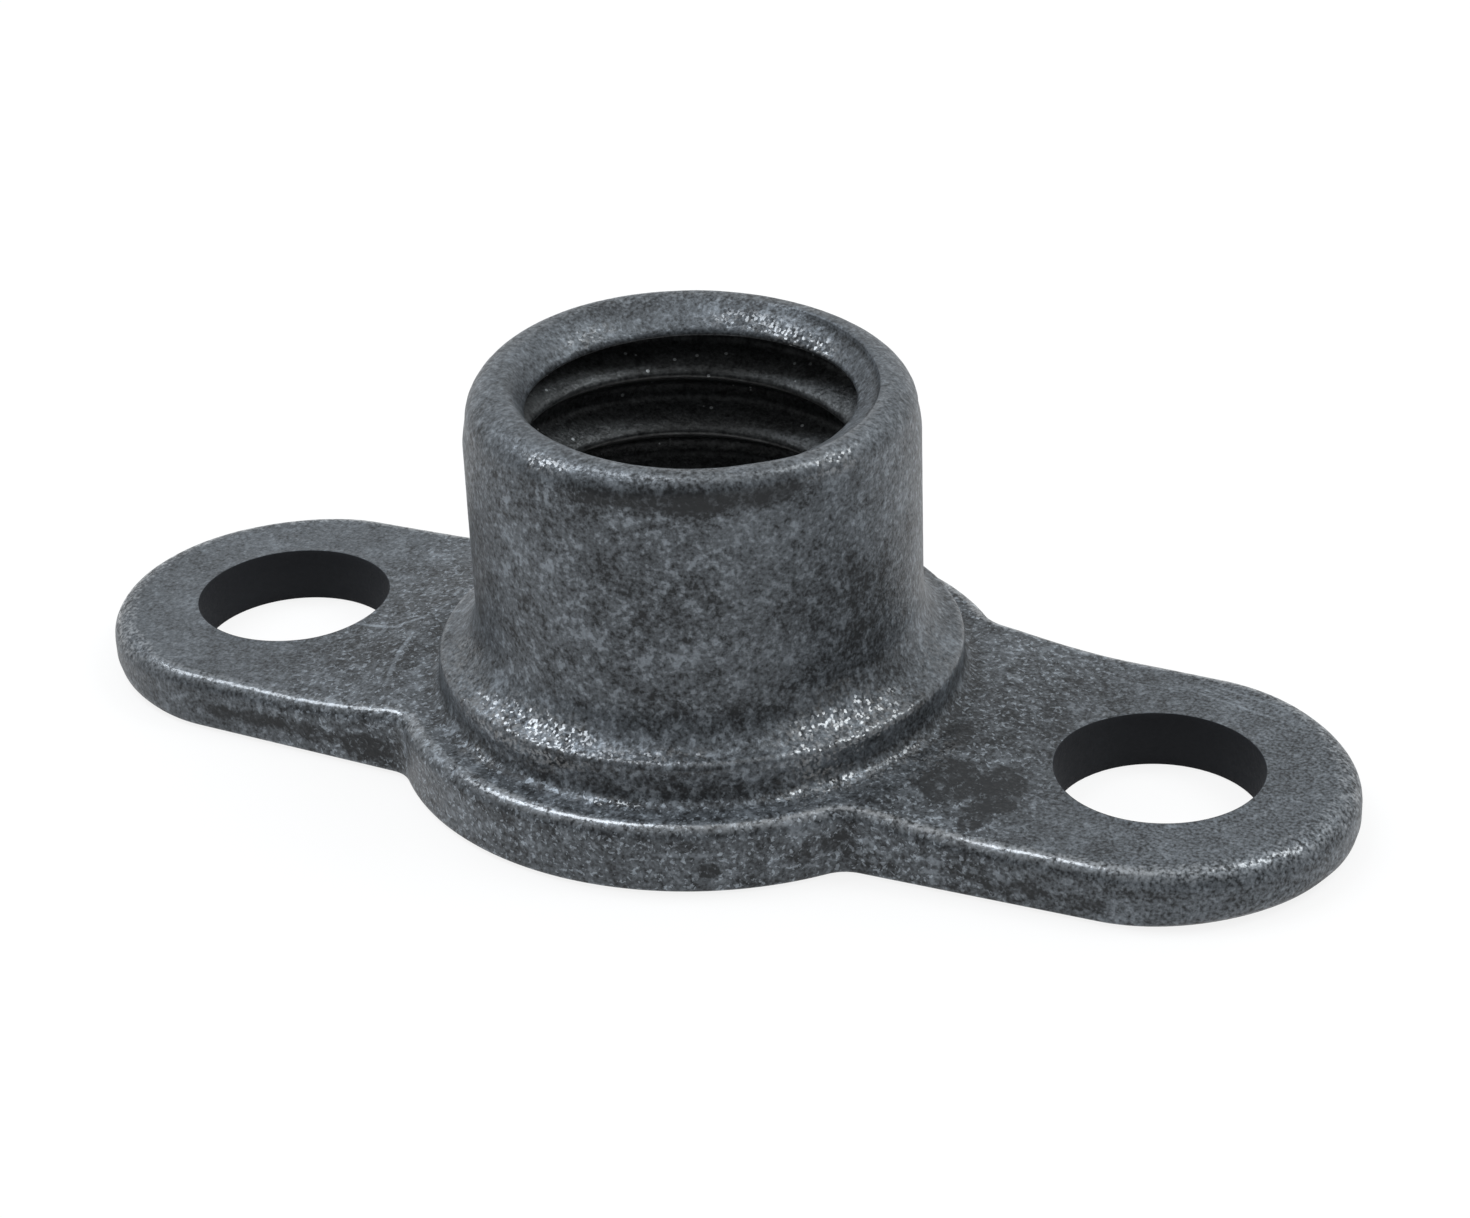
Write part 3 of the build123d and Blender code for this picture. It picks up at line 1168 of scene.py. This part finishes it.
@dataclass(frozen=True)
class CoatedSteel:
    """Grey coating on steel: mottled, with painted shade in the recesses and in patches, painted highlights
    in patches, and rubbed bright along the edges.

    Places are in millimetres, and tones are shares of the coating's colour.
    """

    coat: Colour = (0.0845, 0.0942, 0.1045)
    bare: Colour = (0.22, 0.24, 0.26)
    bore: Colour = (0.052, 0.055, 0.056)
    dust_colour: Colour = (0.42, 0.44, 0.45)
    hole: Colour = (0.024, 0.025, 0.028)
    metallic: float = 0.45
    gloss: float = 0.13
    gloss_index: float = 1.9
    wear_attribute: str = "edge_wear"
    marks_and_painted_light: tuple[Zone, ...] = MARKS_AND_PAINTED_LIGHT
    glints: tuple[Zone, ...] = GLINTS
    dulled: tuple[Zone, ...] = DULLED
    # Noise of the coating, and what each size adds to the tone
    blotch: Grain = Grain(0.7, 3.0, 1.0)
    mottle: Grain = Grain(3.2, 4.0, 2.0, 0.6, 0.2)
    fleck: Grain = Grain(11.0, 3.0, 3.0)
    grain: Grain = Grain(24.0, 1.0, 5.0, 0.5)
    speck: Grain = Grain(15.0, 2.0, 7.0, 0.6, 0.4)
    mottle_in_mix: float = 0.6
    base_tone: float = 0.91
    least_tone: float = 0.18
    blotch_tone: float = 1.2
    mottle_tone: float = 1.3
    fleck_tone: float = 1.4
    light_flecks: Fade = Fade(0.05, 0.13, 0.0, 0.50)
    dark_flecks: Fade = Fade(-0.08, -0.16, 0.0, -0.18)
    grain_tone: Fade = Fade(4.5, 6.5, 2.2, 3.6)
    # Painted shade in the hollows, partly coating that is rubbed less there: darker where the surface is
    # concave
    hollow_shade: Fade = Fade(-0.15, -0.8, 0.0, -0.35)
    speck_tone: Fade = Fade(0.075, 0.125, -0.10, 1.7)
    speck_beside: Fade = Fade(5.6, 4.0, 0.15, 1.0)
    speck_below: Fade = Fade(1.0, 0.9, 0.2, 1.0)
    # Where the mottling is weaker or stronger
    end_strength: Fade = Fade(4.2, 6.0, 1.15, 0.7)
    side_strength: Fade = Fade(2.2, 2.36, 0.0, 0.4)
    crown_strength: Fade = Fade(4.45, 4.65, 1.0, 0.55)
    wall_strength: Fade = Fade(2.5, 3.0, 0.72, 1.0)
    wall_top: Fade = Fade(0.70, 0.85)
    # Mottling is calmer in the darkest patches: the stains and the painted shade
    stain_and_shade_strength: Fade = Fade(-0.62, -0.30, 0.45, 1.0)
    # Walls of the rivet holes and of the bore
    hole_edge: Fade = Fade(0.014, 0.006)
    hole_roughness: float = 0.30
    hole_shine: Fade = Fade(0.0, 1.0, 0.5, 0.1)
    bore_reach: Fade = Fade(2.56, 2.50)
    bore_top: Fade = Fade(4.53, 4.43)
    bore_mottle: float = 3.0
    bore_grain: float = 2.0
    bore_least: float = 0.3
    dust_per_mm: float = 9.0
    dust_pick: Fade = Fade(0.86, 0.88)
    dust_size: Fade = Fade(0.24, 0.16)
    # Which edges are rubbed, and how far
    hole_clear: Fade = Fade(0.06, 0.16)
    base_clear: Fade = Fade(0.2, 0.4)
    mouth_clear: Fade = Fade(2.30, 2.42)
    crown_rub: Fade = Fade(4.2, 4.5, 1.0, 0.3)
    collar_foot: Fade = Fade(1.0, 1.1)
    collar_head: Fade = Fade(1.9, 1.7)
    collar_rub: Fade = Fade(0.0, 1.0, 1.0, 0.25)
    rub_fleck: float = 1.9
    rub_grain: float = 1.6
    rub_edge: Fade = Fade(0.34, 1.02, 0.0, 0.95)
    rub_upward: Fade = Fade(0.30, 0.65)
    rub_far: Fade = Fade(0.1, 0.5, 1.0, 0.35)
    rub_bare: float = 0.2
    # Bright grain and fine relief
    glint_per_mm: float = 29.0
    glint_pick: Fade = Fade(0.40, 0.55)
    glint_tilt: float = 0.45
    gloss_tilt: float = 0.06
    grain_tilt: float = 0.25
    coat_tilt: float = 0.12
    roughness: float = 0.46
    fleck_roughness: float = -0.25
    fleck_relief: float = 0.35
    grain_relief: float = 0.4
    relief_height: float = 0.016

    def noises(self, bench: NodeBench, spot: Socket) -> CoatNoise:
        """Noise of the coating.

        Args:
            bench: Where the nodes go.
            spot: Coordinates in millimetres.

        Returns:
            The noise at each size.
        """
        sizes = (self.blotch, self.mottle, self.fleck, self.grain)
        blotch, mottle, fleck, grain = (size.at(bench, spot) for size in sizes)
        mixed = bench.total(fleck, bench.product(mottle, self.mottle_in_mix))
        return CoatNoise(blotch, mottle, fleck, grain, mixed)

    def inside(self, bench: NodeBench, spot: Socket) -> tuple[Socket, Socket, Socket]:
        """Shares of the places that are covered or kept from wear.

        Args:
            bench: Where the nodes go.
            spot: Coordinates in millimetres.

        Returns:
            1 within the rivet holes, 1 within the thread, and 1 where edges are open to rubbing.
        """
        parts = bench.parts(spot)
        height = parts["Z"]
        half = mount_size("rivet_holes", "spacing_x_mm") / 2
        hole_r = mount_size("rivet_holes", "hole_r_mm")
        beside = bench.math("SUBTRACT", bench.math("ABSOLUTE", parts["X"]), half)
        from_hole = bench.math("SUBTRACT", bench.length(beside, parts["Y"]), hole_r)
        out = bench.length(parts["X"], parts["Y"])
        bore = bench.product(self.bore_reach.at(bench, out), self.bore_top.at(bench, height))
        collar = bench.product(self.collar_foot.at(bench, height), self.collar_head.at(bench, height))
        rubbed = bench.product(
            self.hole_clear.at(bench, from_hole),
            self.mouth_clear.at(bench, out),
            self.base_clear.at(bench, height),
            self.crown_rub.at(bench, height),
            self.collar_rub.at(bench, collar),
        )
        return self.hole_edge.at(bench, from_hole), bore, rubbed

    def specks(self, bench: NodeBench, spot: Socket) -> Socket:
        """Small light specks, most of them on the ears beside the boss.

        Args:
            bench: Where the nodes go.
            spot: Coordinates in millimetres.

        Returns:
            The tone that they add, which is below 0 between them.
        """
        parts = bench.parts(spot)
        tone = self.speck_tone.at(bench, self.speck.at(bench, spot))
        beside = self.speck_beside.at(bench, bench.math("ABSOLUTE", parts["X"]))
        return bench.product(tone, beside, self.speck_below.at(bench, parts["Z"]))

    def dust(self, bench: NodeBench, spot: Socket) -> Socket:
        """Sparse specks of dust.

        Args:
            bench: Where the nodes go.
            spot: Coordinates in millimetres.

        Returns:
            1 on a speck and 0 elsewhere.
        """
        cells = bench.node("ShaderNodeTexVoronoi", {"Vector": spot, "Scale": self.dust_per_mm}).outputs
        picked = self.dust_pick.at(bench, bench.parts(cells["Color"])["X"])
        return bench.product(picked, self.dust_size.at(bench, cells["Distance"]))

    def strength(self, bench: NodeBench, spot: Socket) -> Socket:
        """How strong the mottling is: weaker on the ears' ends, the ring's wall and the crown.

        Args:
            bench: Where the nodes go.
            spot: Coordinates in millimetres.

        Returns:
            A factor of about 1.
        """
        parts = bench.parts(spot)
        across = bench.math("ABSOLUTE", parts["X"])
        ends = self.end_strength.at(bench, across)
        sides = self.side_strength.at(bench, bench.math("ABSOLUTE", parts["Y"]))
        crown = self.crown_strength.at(bench, parts["Z"])
        above = self.wall_top.at(bench, parts["Z"])
        wall = bench.math("MAXIMUM", self.wall_strength.at(bench, across), above)
        return bench.product(bench.total(ends, sides), crown, wall)

    def coating(self, bench: NodeBench, spot: Socket, noise: CoatNoise, wear: Socket) -> Socket:
        """Colour of the coating with its stains and marks, painted shade in hollows and patches, and painted
        highlights; its mottling is calm in its darkest patches.

        Args:
            bench: Where the nodes go.
            spot: Coordinates in millimetres.
            noise: The coating's noise.
            wear: How convex the surface is.

        Returns:
            The colour.
        """
        texture = bench.total(
            bench.product(noise.blotch, self.blotch_tone),
            bench.product(noise.mottle, self.mottle_tone),
            bench.product(noise.fleck, self.fleck_tone),
            self.light_flecks.at(bench, noise.mixed),
            self.dark_flecks.at(bench, noise.mixed),
        )
        texture = bench.product(texture, self.strength(bench, spot))
        fine = bench.product(noise.grain, self.grain_tone.at(bench, bench.parts(spot)["X"]))
        texture = bench.total(texture, fine, self.specks(bench, spot))
        # The zones add stains, scratches and dark patches, and also painted shade and painted highlights
        patches = bench.total(*(zone.share(bench, spot, noise.mottle) for zone in self.marks_and_painted_light))
        texture = bench.product(texture, self.stain_and_shade_strength.at(bench, patches))
        tone = bench.total(self.base_tone, texture, self.hollow_shade.at(bench, wear), patches)
        return bench.scaled(self.coat, bench.math("MAXIMUM", tone, self.least_tone))

    def worn(self, bench: NodeBench, spot: Socket, noise: CoatNoise, wear: Socket, rubbed: Socket) -> Socket:
        """Share of the surface that is rubbed glossy: broken lines along the edges that face up.

        Args:
            bench: Where the nodes go.
            spot: Coordinates in millimetres.
            noise: The coating's noise.
            wear: How convex the surface is.
            rubbed: Where edges are open to rubbing.

        Returns:
            The share.
        """
        faces = bench.parts(bench.node("ShaderNodeNewGeometry", {}).outputs["Normal"])
        flecked = bench.product(noise.fleck, self.rub_fleck)
        grained = bench.product(noise.grain, self.rub_grain)
        return bench.product(
            self.rub_edge.at(bench, bench.total(wear, flecked, grained)),
            rubbed,
            self.rub_upward.at(bench, faces["Z"]),
            self.rub_far.at(bench, faces["Y"]),
            bench.total(1.0, *(zone.share(bench, spot, noise.mottle) for zone in self.dulled)),
        )

    def lining(self, bench: NodeBench, spot: Socket, noise: CoatNoise) -> Socket:
        """Colour of the thread with its dust.

        Args:
            bench: Where the nodes go.
            spot: Coordinates in millimetres.
            noise: The coating's noise.

        Returns:
            The colour.
        """
        mottled = bench.product(noise.mixed, self.bore_mottle)
        grained = bench.product(noise.grain, self.bore_grain)
        shade = bench.math("MAXIMUM", bench.total(1.0, mottled, grained), self.bore_least)
        return bench.blend(self.dust(bench, spot), bench.scaled(self.bore, shade), self.dust_colour)

    def facets(self, bench: NodeBench, cells: Socket, tilt: Socket) -> Socket:
        """The surface's normal, tilted at random from grain to grain.

        Args:
            bench: Where the nodes go.
            cells: A random colour for each grain.
            tilt: How far the grains are tilted.

        Returns:
            The tilted normal.
        """
        middle = (0.5, 0.5, 0.5)
        way = bench.node("ShaderNodeVectorMath", {0: cells, 1: middle}, operation="SUBTRACT").outputs[0]
        normal = bench.node("ShaderNodeNewGeometry", {}).outputs["Normal"]
        inputs = {0: normal, 1: bench.scaled(way, tilt)}
        summed = bench.node("ShaderNodeVectorMath", inputs, operation="ADD").outputs[0]
        return bench.node("ShaderNodeVectorMath", {0: summed}, operation="NORMALIZE").outputs[0]

    def material(self) -> bpy.types.Material:
        """The finish as a material.

        Returns:
            The new material.
        """
        made = bpy.data.materials.new("coated_steel")
        made.use_nodes = True
        made.node_tree.nodes.clear()
        bench = NodeBench(made.node_tree)
        spot = bench.scaled(bench.node("ShaderNodeTexCoord", {}).outputs["Object"], 1 / MM)
        wear = bench.node("ShaderNodeAttribute", {}, attribute_name=self.wear_attribute).outputs["Fac"]
        noise = self.noises(bench, spot)
        holes, bore, rubbed = self.inside(bench, spot)
        worn = self.worn(bench, spot, noise, wear, rubbed)
        glitter = bench.total(*(zone.share(bench, spot, noise.mottle) for zone in self.glints))
        glitter = bench.math("MINIMUM", glitter, 1.0)
        grains = {"Vector": spot, "Scale": self.glint_per_mm}
        cells = bench.node("ShaderNodeTexVoronoi", grains).outputs["Color"]
        bright = bench.product(self.glint_pick.at(bench, bench.parts(cells)["Z"]), glitter)
        coat = self.coating(bench, spot, noise, wear)
        colour = bench.blend(bench.product(worn, self.rub_bare), coat, self.bare)
        colour = bench.blend(bore, colour, self.lining(bench, spot, noise))
        flecked = bench.product(noise.fleck, self.fleck_relief)
        relief = bench.total(flecked, bench.product(noise.grain, self.grain_relief))
        tilt = bench.math("MULTIPLY_ADD", glitter, self.grain_tilt, self.coat_tilt)
        normal = self.facets(bench, cells, tilt)
        bump = {"Distance": self.relief_height * MM, "Height": relief, "Normal": normal}
        roughness = bench.math("MULTIPLY_ADD", noise.fleck, self.fleck_roughness, self.roughness)
        gloss_tilt = bench.math("MULTIPLY_ADD", glitter, self.glint_tilt, self.gloss_tilt)
        inputs = {
            "Base Color": bench.blend(holes, colour, self.hole),
            "Roughness": bench.total(roughness, bench.product(holes, self.hole_roughness)),
            "Normal": bench.node("ShaderNodeBump", bump).outputs[0],
            "Metallic": bench.product(bench.math("SUBTRACT", 1.0, holes), self.metallic),
            "Specular IOR Level": self.hole_shine.at(bench, holes),
            "Coat Weight": bench.math("MAXIMUM", worn, bright),
            "Coat Roughness": self.gloss,
            "Coat IOR": self.gloss_index,
            "Coat Normal": self.facets(bench, cells, gloss_tilt),
        }
        shader = bench.node("ShaderNodeBsdfPrincipled", inputs)
        bench.node("ShaderNodeOutputMaterial", {"Surface": shader.outputs[0]})
        return made


class Nutplate:
    """The whole one-piece part."""

    wear_full: float = 6.0
    wear_spread: int = 1

    def __init__(self) -> None:
        """Takes the sizes that the frame gives and derives the sub-assemblies from them."""
        low, high = (np.array(corner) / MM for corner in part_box(NODE))
        spacing = mount_size("rivet_holes", "spacing_x_mm")
        self.base = RingBase(
            ring_r=high[1],
            rivet_spacing=spacing,
            rivet_hole_r=mount_size("rivet_holes", "hole_r_mm"),
            ear_end_r=(high[0] - low[0] - spacing) / 2,
        )
        self.boss = Boss(
            height=high[2],
            bore_r=mount_size("thread", "r_mm"),
            seam_r=self.base.seam_r,
            shelf_height=self.base.ring_thickness,
            segments=self.base.segments,
        )
        self.bore = ThreadBore(
            minor_r=self.boss.bore_r,
            top=self.boss.height - self.boss.mouth_depth,
            entry_r=self.base.entry_r,
            segments=self.base.segments,
        )

    def edge_wear(self, mesh: bpy.types.Mesh) -> np.ndarray:
        """How convex the surface is about each point, from -1 in a tight hollow to 1 on a tight edge.

        Args:
            mesh: The finished mesh.

        Returns:
            One value for each vertex.
        """
        count = len(mesh.vertices)
        points = np.zeros(count * 3)
        mesh.vertices.foreach_get("co", points)
        points = points.reshape(-1, 3) / MM
        normals = np.zeros(count * 3)
        mesh.vertices.foreach_get("normal", normals)
        ends = np.zeros(len(mesh.edges) * 2, int)
        mesh.edges.foreach_get("vertices", ends)
        first, second = ends.reshape(-1, 2).T
        degree = np.bincount(first, minlength=count) + np.bincount(second, minlength=count)

        def around(values: np.ndarray) -> np.ndarray:
            """Mean of the neighbours' values at each vertex."""
            sums = np.bincount(first, values[second], count) + np.bincount(second, values[first], count)
            return sums / degree

        along = points[second] - points[first]
        facing = normals.reshape(-1, 3)
        turn = np.sum((facing[second] - facing[first]) * along, axis=1) / np.sum(along**2, axis=1)
        most = np.zeros(count)
        least = np.zeros(count)
        for tips in (first, second):
            np.maximum.at(most, tips, turn)
            np.minimum.at(least, tips, turn)
        wear = np.clip((most + least) / self.wear_full, -1, 1)
        for _ in range(self.wear_spread):
            wear = (wear + around(wear)) / 2
        return wear

    def build(self, finish: CoatedSteel) -> bpy.types.Object:
        """Builds, welds and dresses the part.

        Args:
            finish: The coating.

        Returns:
            The finished piece.
        """
        material = finish.material()
        patches = Patchwork()
        self.base.build(patches)
        self.boss.build(patches)
        self.bore.build(patches, material)
        mesh = Unevenness().apply(patches.weld("nutplate_body"), material)
        mesh.name = "nutplate_body"
        wear = mesh.attributes.new(finish.wear_attribute, "FLOAT", "POINT")
        wear.data.foreach_set("value", self.edge_wear(mesh).astype(np.float32))
        piece = bpy.data.objects.new("nutplate_body", mesh)
        bpy.context.scene.collection.objects.link(piece)
        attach(piece, BODY)
        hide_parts(NODE)
        return piece


@dataclass(frozen=True)
class Softbox:
    """An oblong soft lamp that looks at the part, with its length up and over the part."""

    name: str
    towards: Point
    distance: float
    width: float
    length: float
    radiance: float
    colour: Colour

    def light(self, aim: Vector) -> None:
        """Hangs the lamp.

        Args:
            aim: What it looks at, in metres.
        """
        lamp = bpy.data.lights.new(self.name, "AREA")
        lamp.shape = "RECTANGLE"
        lamp.size = self.width * MM
        lamp.size_y = self.length * MM
        lamp.energy = self.radiance * math.pi * lamp.size * lamp.size_y
        lamp.color = self.colour
        hung = bpy.data.objects.new(self.name, lamp)
        way = Vector(self.towards).normalized()
        hung.location = aim + way * self.distance * MM
        hung.rotation_euler = way.to_track_quat("Z", "Y").to_euler()
        bpy.context.scene.collection.objects.link(hung)


@dataclass
class Studio:
    """Pale floor, soft lamps and the camera at the photograph's place."""

    camera_place: Point = (16.386, -32.717, 21.560)
    camera_ahead: Point = (-0.38418, 0.78991, -0.47796)
    camera_right: Point = (0.90706, 0.41947, -0.03585)
    lens: float = 82.73
    sensor: float = 36.0
    nearest: float = 1.0
    farthest: float = 3000.0
    floor_side: float = 900.0
    floor_drop: float = 0.02
    floor_colour: Colour = (0.92, 0.92, 0.92)
    floor_white: float = 0.85
    sky_colour: Colour = (0.97, 0.99, 1.0)
    sky_front: float = 0.18
    sky_back: float = 0.80
    sky_side: Point = (-0.20, 0.75, 0.63)
    sky_dim_end: float = -0.5
    sky_pale_start: float = 0.7
    lamps: tuple[Softbox, ...] = (
        Softbox("left_softbox", (-0.51, -0.03, 0.86), 120.0, 40.0, 82.0, 6.3, (0.91, 0.975, 1.05)),
        Softbox("right_softbox", (0.52, 0.32, 0.79), 120.0, 40.0, 60.0, 6.0, (0.92, 0.97, 1.0)),
        Softbox("top_softbox", (0.0, 0.1, 1.0), 160.0, 120.0, 120.0, 0.6, (1.0, 1.0, 1.0)),
    )

    def seen(self, bench: NodeBench) -> Socket:
        """1 for rays that show a surface to the camera, straight or by a mirror or glass.

        Args:
            bench: Where the nodes go.

        Returns:
            The flag.
        """
        path = bench.node("ShaderNodeLightPath", {}).outputs
        mirrored = bench.math("MAXIMUM", path["Is Glossy Ray"], path["Is Transmission Ray"])
        return bench.math("MAXIMUM", path["Is Camera Ray"], mirrored)

    def lay_floor(self) -> None:
        """Lays the floor, which looks white and keeps a soft shadow."""
        half = self.floor_side / 2
        plan = ((-half, -half), (half, -half), (half, half), (-half, half))
        corners = [(x * MM, y * MM, -self.floor_drop * MM) for x, y in plan]
        mesh = bpy.data.meshes.new("floor")
        mesh.from_pydata(corners, [], [(0, 1, 2, 3)])
        material = bpy.data.materials.new("pale_floor")
        material.use_nodes = True
        material.node_tree.nodes.clear()
        bench = NodeBench(material.node_tree)
        lit = bench.node("ShaderNodeBsdfDiffuse", {"Color": (*self.floor_colour, 1.0)})
        white = bench.node("ShaderNodeEmission", {"Color": (1.0, 1.0, 1.0, 1.0), "Strength": 1.0})
        share = bench.product(self.seen(bench), self.floor_white)
        mixed = bench.node("ShaderNodeMixShader", {0: share, 1: lit.outputs[0], 2: white.outputs[0]})
        bench.node("ShaderNodeOutputMaterial", {"Surface": mixed.outputs[0]})
        mesh.materials.append(material)
        floor = bpy.data.objects.new("floor", mesh)
        bpy.context.scene.collection.objects.link(floor)

    def hang_sky(self) -> None:
        """Makes the surroundings pale behind and above the part and dim on the camera's side."""
        world = bpy.data.worlds.new("surroundings")
        world.use_nodes = True
        world.node_tree.nodes.clear()
        bench = NodeBench(world.node_tree)
        way = bench.node("ShaderNodeTexCoord", {}).outputs["Generated"]
        facing = bench.node("ShaderNodeVectorMath", {0: way, 1: self.sky_side}, operation="DOT_PRODUCT")
        turned = facing.outputs["Value"]
        strength = bench.rise(turned, self.sky_dim_end, self.sky_pale_start, self.sky_front, self.sky_back)
        shade = bench.node("ShaderNodeBackground", {"Color": (*self.sky_colour, 1.0), "Strength": strength})
        bench.node("ShaderNodeOutputWorld", {"Surface": shade.outputs[0]})
        bpy.context.scene.world = world

    def place_camera(self) -> None:
        """Puts the camera where the photograph was taken from."""
        data = bpy.data.cameras.new("camera")
        data.lens = self.lens
        data.sensor_width = self.sensor
        data.clip_start = self.nearest * MM
        data.clip_end = self.farthest * MM
        ahead = Vector(self.camera_ahead).normalized()
        right = Vector(self.camera_right).normalized()
        up = right.cross(ahead)
        turn = Matrix((right, up, -ahead)).transposed().to_4x4()
        camera = bpy.data.objects.new("camera", data)
        camera.matrix_world = Matrix.Translation(Vector(self.camera_place) * MM) @ turn
        bpy.context.scene.collection.objects.link(camera)
        bpy.context.scene.camera = camera

    def build(self) -> None:
        """Sets up the studio round the part."""
        bpy.context.scene.view_settings.view_transform = "Standard"
        low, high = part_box(NODE)
        self.lay_floor()
        self.hang_sky()
        for lamp in self.lamps:
            lamp.light((low + high) / 2)
        self.place_camera()


def main() -> None:
    """Builds the part and the studio, and reports the piece."""
    logging.basicConfig(level=logging.INFO, format="%(name)s: %(message)s")
    piece = Nutplate().build(CoatedSteel())
    log.info("%s: %d triangles", piece.name, sum(len(face.vertices) - 2 for face in piece.data.polygons))
    Studio().build()


if __name__ == "__main__":
    main()
